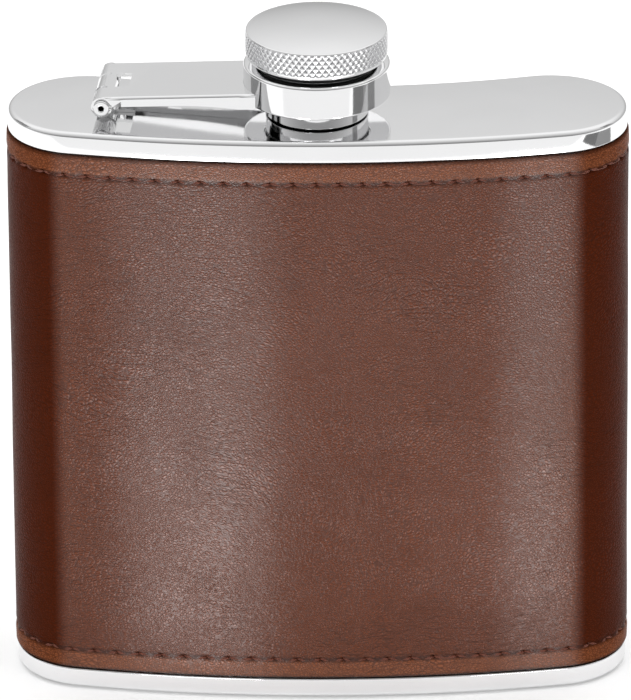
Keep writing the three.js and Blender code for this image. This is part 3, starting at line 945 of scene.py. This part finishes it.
def build_neck():
    columns = 120
    low, top = NECK_LOW[2], NECK_HIGH[2]
    plain = lambda r, z: plain_row(r, z, columns)
    rows = [
        plain(NECK_BORE, low),
        plain(NECK_RADIUS + NECK_FLANGE, low),
        plain(NECK_RADIUS + NECK_FLANGE, low + SHEET),
        plain(NECK_RADIUS, low + SHEET),
        plain(NECK_RADIUS, PLATE_Z + NECK_PLAIN - 0.1),
    ]
    rows += helix_wall(
        NECK_RADIUS, THREAD_DEPTH, THREAD_PITCH, PLATE_Z + NECK_PLAIN,
        top - NECK_PLAIN, 0.9, columns, 0.1,
    )
    middle = (NECK_RADIUS + NECK_BORE) / 2
    half = (NECK_RADIUS - NECK_BORE) / 2
    rows.append(plain(NECK_RADIUS, top - half - 0.08))
    for t in np.linspace(0, math.pi, 11):
        rows.append(plain(middle + half * math.cos(t), top - half + half * math.sin(t)))
    rows.append(plain(NECK_BORE, top - half - 0.1))
    points = place_on_neck(np.concatenate(rows))
    neck = make_object("filler_neck", points, [grid_faces(len(rows), columns, True)])
    sharpen(neck, 60)
    hand_over(neck, INNER_STEEL, "flask", "inner_steel", "neck")


def build_ring():
    low, high = RING_LOW[2], RING_HIGH[2]
    cavity = RING_RADIUS - RING_WALL
    outline = rounded(
        [
            (RING_HOLE, low, 0.12), (RING_RADIUS, low, 0.32), (RING_RADIUS, high - 0.1, 0.42),
            (RING_LIP_RADIUS, high + RING_LIP_RISE, 0.2), (RING_LIP_RADIUS, high - RING_WALL, 0.1),
            (cavity, high - RING_WALL, 0.3), (cavity, low + RING_WALL, 0.2),
            (RING_HOLE, low + RING_WALL, 0.1),
        ],
        6,
    )
    ring = lathe("captive_ring", outline, 200, (NECK_X, NECK_Y, 0))
    hand_over(ring, TURNED_STEEL, "arm", "polished_steel", "collar_ring")


def build_sleeve():
    columns = 160
    low, high = PLATE_Z + PLATE_CROWN + SLEEVE_GAP, SLEEVE_HIGH[2]
    flange_low = PLATE_Z + FLANGE_LOW
    flange_high = flange_low + FLANGE_THICKNESS
    corners = [
        (SLEEVE_BORE, low, 0.1), (SLEEVE_RADIUS, low, 0.12), (SLEEVE_RADIUS, flange_low, 0.1),
        (FLANGE_RADIUS, flange_low, 0.12), (FLANGE_RADIUS, flange_high, 0.12),
        (SLEEVE_RADIUS, flange_high, 0.1), (SLEEVE_RADIUS, high, 0.1), (SLEEVE_BORE, high, 0.1),
    ]
    outline = rounded(corners, 4)
    rows = [plain_row(r, z, columns) for r, z in outline]
    rows += helix_wall(
        SLEEVE_BORE, SLEEVE_THREAD_DEPTH, THREAD_PITCH, low + 0.4, high - 0.4, 0.6, columns, 0.12, True
    )[::-1]
    points = place_on_neck(np.concatenate(rows))
    sleeve = make_object("cap_thread_sleeve", points, [grid_faces(len(rows), columns, True)])
    sharpen(sleeve, 60)
    hand_over(sleeve, TURNED_STEEL, "cap", "polished_steel", "cap_sleeve")


def knurl_radius(angle, z, low, high):
    """Raised diamonds that fade out at both ends of the knurled band."""
    turns = KNURL_COUNT * angle / (2 * math.pi)
    rise = (z - low) / KNURL_PITCH
    first = np.abs(2 * ((turns + rise) % 1.0) - 1)
    second = np.abs(2 * ((turns - rise) % 1.0) - 1)
    groove = np.maximum(first**2.2, second**2.2)
    ends = np.clip(min((z - low) / 0.22, (high - z) / 0.16), 0, 1)
    return HEAD_RADIUS - KNURL_DEPTH * (groove * ends + 0.35 * (1 - ends))


def build_head():
    columns = KNURL_COUNT * 12
    angle = around(columns)
    low, top = HEAD_LOW[2], HEAD_HIGH[2]
    rim = top - HEAD_RIM_DROP
    floor = SLEEVE_HIGH[2] + 0.125
    knurl_low, knurl_high = low + 0.85, rim - 0.22
    plain = lambda r, z: plain_row(r, z, columns)
    rows = [plain(0.0, floor), plain(HEAD_SOCKET - 0.1, floor), plain(HEAD_SOCKET, floor - 0.08)]
    rows += [plain(HEAD_SOCKET, low + 0.12), plain(HEAD_SOCKET + 0.12, low)]
    rows.append(plain(HEAD_FOOT_RADIUS - 0.5, low))
    # smooth turned foot that swells out to the knurled band
    for t in np.linspace(0, 1, 9):
        swing = t * math.pi / 2
        rows.append(
            plain(
                HEAD_FOOT_RADIUS - 0.4
                + (HEAD_RADIUS - 0.07 - HEAD_FOOT_RADIUS + 0.4) * math.sin(swing),
                low + (knurl_low - low - 0.04) * (1 - math.cos(swing)),
            )
        )
    for z in np.linspace(knurl_low, knurl_high, 44):
        r = knurl_radius(angle, z, knurl_low, knurl_high)
        rows.append(plain(r, z))
    # small lip, then the crown
    for t in np.linspace(0, math.pi / 2, 7):
        rows.append(plain(HEAD_RADIUS - 0.09 - 0.26 * (1 - math.cos(t)), rim - 0.2 + 0.2 * math.sin(t)))
    edge = HEAD_RADIUS - 0.36
    for share in np.linspace(0.985, 0.0, 26):
        dome = 1 - share**2.3
        rows.append(plain(edge * share, rim + (top - rim) * dome))
    points = place_on_neck(np.concatenate(rows))
    head = make_object("knurled_head", points, [grid_faces(len(rows), columns, False)])
    weld(head)
    sharpen(head, 75)
    head.data.materials.append(TURNED_STEEL)
    head.data.materials.append(KNURL_STEEL)
    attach(head, "cap")
    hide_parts("cap_head")
    inside = (knurl_low * MM, knurl_high * MM)
    for polygon in head.data.polygons:
        c = polygon.center
        far = math.hypot(c.x - NECK_X * MM, c.y - NECK_Y * MM)
        knurled = inside[0] < c.z < inside[1] and far > (HEAD_RADIUS - 1) * MM
        polygon.material_index = 1 if knurled else 0


def build_cap_seals():
    washer = lathe(
        "neck_washer",
        rounded(
            [
                (SLEEVE_RADIUS + 0.3, WASHER_LOW[2], 0.15),
                (RING_LIP_RADIUS - 0.25, WASHER_LOW[2], 0.2),
                (RING_LIP_RADIUS - 0.25, WASHER_HIGH[2], 0.35),
                (SLEEVE_RADIUS + 0.3, WASHER_HIGH[2], 0.15),
            ],
            5,
        ),
        140,
        (NECK_X, NECK_Y, 0),
    )
    hand_over(washer, RUBBER, "cap_carrier", "black_rubber", "cap_washer")

    low, high = LINER_LOW[2], LINER_HIGH[2]
    radius = (LINER_HIGH[0] - LINER_LOW[0]) / 2
    outline = [
        (0, high), (radius - 0.2, high), (radius, high - 0.2), (radius, low + 0.25),
        (radius - 0.25, low), (NECK_RADIUS + 0.15, low), (NECK_RADIUS - 0.1, low + 0.12),
        (NECK_BORE + 0.1, low + 0.12), (NECK_BORE - 0.15, low), (2.0, low + 0.02), (0, low + 0.03),
    ]
    liner = lathe("seal_disc", outline, 120, (NECK_X, NECK_Y, 0))
    sharpen(liner, 40)
    hand_over(liner, LINER, "cap", "seal_liner", "cap_liner")


# ---- hinge and arm, made with the pin's axis along Y through the origin ----
YAW = math.atan2(HINGE_BACK, HINGE_SPAN)
HINGE_PLACE = Matrix.Translation(
    Vector((NECK_X - HINGE_SPAN, NECK_Y + HINGE_BACK, PLATE_Z + PIN_HEIGHT)) * MM
) @ Matrix.Rotation(-YAW, 4, "Z")
SPAN = math.hypot(HINGE_SPAN, HINGE_BACK)


def arm_section(depth):
    """Channel outline in (y, z), the same number of points for every flange depth."""
    half, top = ARM_WIDTH / 2, BARREL_RADIUS
    bottom, inner = top - depth, half - SHEET
    bend, inner_bend = ARM_BEND, max(ARM_BEND - SHEET, 0.08)
    steps = 8
    turn = np.linspace(0, math.pi / 2, steps + 1)
    right_outer = [(half - bend + bend * math.cos(t), top - bend + bend * math.sin(t)) for t in turn]
    left_outer = [(-y, z) for y, z in right_outer[::-1]]
    right_inner = [
        (
            inner - inner_bend + inner_bend * math.cos(t),
            top - SHEET - inner_bend + inner_bend * math.sin(t),
        )
        for t in turn
    ]
    left_inner = [(-y, z) for y, z in right_inner[::-1]]
    return (
        [(half, bottom)]
        + right_outer
        + left_outer
        + [(-half, bottom), (-inner, bottom)]
        + left_inner[::-1]
        + right_inner[::-1]
        + [(inner, bottom)]
    )


def build_arm():
    ring_side = SPAN - RING_RADIUS
    length = SPAN - RING_RADIUS / 2
    stations = np.concatenate(
        [np.linspace(0, ring_side / 2, 4), np.linspace(ring_side / 2, ring_side, 16)[1:], [length]]
    )
    rows = []
    for x in stations:
        t = np.clip((x - ring_side / 2) / (ring_side / 2), 0, 1)
        depth = FLANGE_DEPTH + (FLANGE_DEPTH_AT_RING - FLANGE_DEPTH) * t**2
        rows.append(np.array([(x, y, z) for y, z in arm_section(depth)]))
    count = len(rows[0])
    points = np.concatenate(rows)
    last = (len(rows) - 1) * count
    caps = np.array([list(range(count - 1, -1, -1)), list(range(last, last + count))])
    arm = make_object("hinged_arm", points, [grid_faces(len(rows), count, False), caps])
    combine(
        arm,
        block(
            "window",
            (WINDOW_START, -WINDOW_WIDTH / 2, BARREL_RADIUS - 1.2),
            (WINDOW_START + WINDOW_LENGTH, WINDOW_WIDTH / 2, BARREL_RADIUS + 1.2),
        ),
        "DIFFERENCE",
    )
    transform(arm, Matrix.Rotation(-ARM_SLOPE, 4, "Y"))
    combine(arm, bar("barrel", BARREL_RADIUS, ARM_WIDTH / 2, steps=72), "UNION")
    combine(arm, bar("bore", BARREL_BORE, ARM_WIDTH, steps=48), "DIFFERENCE")
    slot_half = SLOT_WIDTH / 2
    for side in (-1, 1):
        slot = bar("slot", SLOT_RADIUS, slot_half, side * EAR_SPACING / 2)
        combine(arm, slot, "DIFFERENCE")
    ring = bar("ring_seat", RING_RADIUS + 0.02, 20, steps=240)
    transform(ring, Matrix.Rotation(math.pi / 2, 4, "X"))
    transform(ring, Matrix.Translation(Vector((SPAN, 0, 0)) * MM))
    combine(arm, ring, "DIFFERENCE")
    break_edges(arm, EDGE_BREAK)
    transform(arm, HINGE_PLACE)
    hand_over(arm, ARM_STEEL, "arm", "polished_steel", "captive_arm")


def build_bracket():
    foot_low = 0.02 - PIN_HEIGHT
    arc = np.linspace(0, math.pi, 25)
    outline = [(-EAR_FOOT_BACK, foot_low), (EAR_FOOT_BACK, foot_low)]
    outline += [(EAR_RADIUS * math.cos(t), EAR_RADIUS * math.sin(t)) for t in arc]
    foot = block(
        "hinge_bracket_stamping",
        (-EAR_FOOT_BACK, -(EAR_SPACING + BRACKET_SHEET) / 2, foot_low),
        (FOOT_FRONT, (EAR_SPACING + BRACKET_SHEET) / 2, foot_low + BRACKET_SHEET),
    )
    for side in (-1, 1):
        y = side * EAR_SPACING / 2
        ear = extrude_side("ear", outline, y - BRACKET_SHEET / 2, y + BRACKET_SHEET / 2)
        combine(foot, ear, "UNION")
    combine(foot, bar("hole", PIN_RADIUS + 0.1, 8, steps=40), "DIFFERENCE")
    break_edges(foot, BRACKET_EDGE_BREAK, 2)
    transform(foot, HINGE_PLACE)
    hand_over(foot, ARM_STEEL, "flask", "inner_steel", "hinge_bracket")


def build_pin():
    reach = ARM_WIDTH / 2 + 0.12
    end = reach + PIN_HEAD_THICKNESS + 0.1
    corners = [
        (PIN_BORE, -end, 0.2), (PIN_HEAD_RADIUS, -end, 0.26), (PIN_HEAD_RADIUS, -reach, 0.1),
        (PIN_RADIUS, -reach, 0.05), (PIN_RADIUS, reach, 0.05), (PIN_HEAD_RADIUS, reach, 0.1),
        (PIN_HEAD_RADIUS, end, 0.26), (PIN_BORE, end, 0.2),
    ]
    pin = lathe("rolled_rivet", rounded(corners, 6, 0.03), 56)
    transform(pin, Matrix.Rotation(math.pi / 2, 4, "X"))
    transform(pin, HINGE_PLACE)
    hand_over(pin, TURNED_STEEL, "flask", "polished_steel", "hinge_pin")


# ---- stage ----
def stage_material(name, colour, glow):
    m = Nodes(name)
    mottle = m.noise(m.coords, 3.0, 2.0)
    m.set(
        Base_Color=m.blend(mottle, (*[c * 0.99 for c in colour], 1), (*colour, 1)),
        Roughness=0.9,
        Specular_IOR_Level=0.0,
        Emission_Color=(1, 1, 1, 1),
        Emission_Strength=glow,
    )
    return m.material


def sheet_of_stage(name, corners, material):
    mesh = bpy.data.meshes.new(name)
    mesh.from_pydata([tuple(c) for c in corners], [], [tuple(range(len(corners)))])
    obj = bpy.data.objects.new(name, mesh)
    bpy.context.scene.collection.objects.link(obj)
    obj.data.materials.append(material)
    return obj


def soft_box(name, place, size, watts):
    """Square lamp aimed at the flask's middle; nothing mirrors it."""
    data = bpy.data.lights.new(name, "AREA")
    data.shape = "RECTANGLE"
    data.size, data.size_y = size, size
    data.energy = watts
    obj = bpy.data.objects.new(name, data)
    obj.location = place
    obj.rotation_mode = "QUATERNION"
    obj.rotation_quaternion = (LAMP_AIM - Vector(place)).to_track_quat("-Z", "Y")
    obj.visible_glossy = False
    bpy.context.scene.collection.objects.link(obj)


def lying(height, *corners):
    return [(x, y, height) for x, y in corners]


def standing(x0, y0, x1, y1):
    low, high = STAND_HEIGHTS
    return [(x0, y0, low), (x1, y1, low), (x1, y1, high), (x0, y0, high)]


def build_cards():
    """Cards on the floor and flags above it, all seen by reflections only."""
    dark = stage_material("dark_card", (0.12, 0.12, 0.12), 0.04)
    grey = stage_material("grey_card", (0.2, 0.2, 0.2), 0.06)
    pale = stage_material("pale_card", (0.02, 0.02, 0.02), 1.0)
    board = stage_material("white_board", (0.9, 0.9, 0.9), 6.0)
    near, far = BOARD_DEPTHS
    cards = (
        ("front", pale, lying(0.0004, (-2, -3), (2, -3), (2, -0.15), (-2, -0.15))),
        (
            "right_flag", dark,
            lying(0.001, (0.175, -0.122), (0.27, -0.15), (0.28, -0.06), (0.18, -0.05)),
        ),
        ("side_grey", grey, lying(0.0008, (0.18, -0.05), (0.27, -0.06), (0.27, 0.04), (0.17, 0.04))),
        ("right_stand", grey, standing(0.6, -0.04, 0.6, 0.13)),
        ("left_stand", grey, standing(-0.6, 0.05, -0.5, 0.33)),
        (
            "left_board", board,
            lying(0.001, (-0.032, near), (-0.077, far), (-0.027, far), (-0.01, near)),
        ),
        ("right_board", board, lying(0.001, (0.026, near), (0.071, far), (0.107, far), (0.045, near))),
    )
    for name, material, corners in cards:
        card = sheet_of_stage(name, corners, material)
        card.visible_camera = False
        card.visible_diffuse = False
        card.visible_shadow = False
        card.visible_transmission = False


def build_world():
    world = bpy.data.worlds.new("studio")
    bpy.context.scene.world = world
    world.use_nodes = True
    tree = world.node_tree
    background = tree.nodes["Background"]
    coords = tree.nodes.new("ShaderNodeTexCoord")
    split = tree.nodes.new("ShaderNodeSeparateXYZ")
    product = tree.nodes.new("ShaderNodeMath")
    product.operation = "MULTIPLY"
    tree.links.new(coords.outputs["Generated"], split.inputs["Vector"])
    for k, (axis, limits) in enumerate((("Z", SKY_RISE), ("Y", SKY_DEPTH))):
        ramp = tree.nodes.new("ShaderNodeMapRange")
        for key, value in zip(("From Min", "From Max", "To Min", "To Max"), limits):
            ramp.inputs[key].default_value = value
        tree.links.new(split.outputs[axis], ramp.inputs["Value"])
        tree.links.new(ramp.outputs["Result"], product.inputs[k])
    tree.links.new(product.outputs[0], background.inputs["Strength"])
    background.inputs["Color"].default_value = (1, 1, 1, 1)


def build_stage():
    half = FLOOR_HALF
    floor = sheet_of_stage(
        "floor",
        [(-half, -half, 0), (half, -half, 0), (half, half, 0), (-half, half, 0)],
        stage_material("pale_floor", (0.9, 0.9, 0.9), 0.12),
    )
    floor.location.z = FLOOR_DROP
    build_cards()
    build_world()
    # soft boxes that light the leather and the floor
    soft_box("top_soft_box", (0.0, -0.2, 1.9), 1.8, 17)
    soft_box("left_soft_box", (-1.0, -1.3, 0.5), 0.7, 7)
    soft_box("right_soft_box", (1.3, -1.2, 0.5), 0.7, 6)


def build_camera():
    azimuth, elevation, roll = (
        math.radians(v) for v in (CAMERA_AZIMUTH, CAMERA_ELEVATION, CAMERA_ROLL)
    )
    back = Vector(
        (
            math.sin(azimuth) * math.cos(elevation),
            -math.cos(azimuth) * math.cos(elevation),
            math.sin(elevation),
        )
    )
    level = Vector((math.cos(azimuth), math.sin(azimuth), 0))
    upright = back.cross(level)
    right = level * math.cos(roll) + upright * math.sin(roll)
    up = upright * math.cos(roll) - level * math.sin(roll)
    aim = Vector(AIM) + up * AIM_RISE
    data = bpy.data.cameras.new("camera")
    data.sensor_width = 36.0
    data.lens = CAMERA_LENS
    data.clip_start, data.clip_end = 0.05, 50.0
    obj = bpy.data.objects.new("camera", data)
    turn = Matrix((right, up, back)).transposed().to_4x4()
    obj.matrix_world = Matrix.Translation((aim + back * CAMERA_DISTANCE) * MM) @ turn
    bpy.context.scene.collection.objects.link(obj)
    bpy.context.scene.camera = obj


build_shell()
leather_plan = build_leather()
build_stitching(leather_plan)
build_neck()
build_ring()
build_sleeve()
build_head()
build_cap_seals()
build_arm()
build_bracket()
build_pin()
build_stage()
build_camera()
bpy.context.scene.view_settings.view_transform = "Standard"
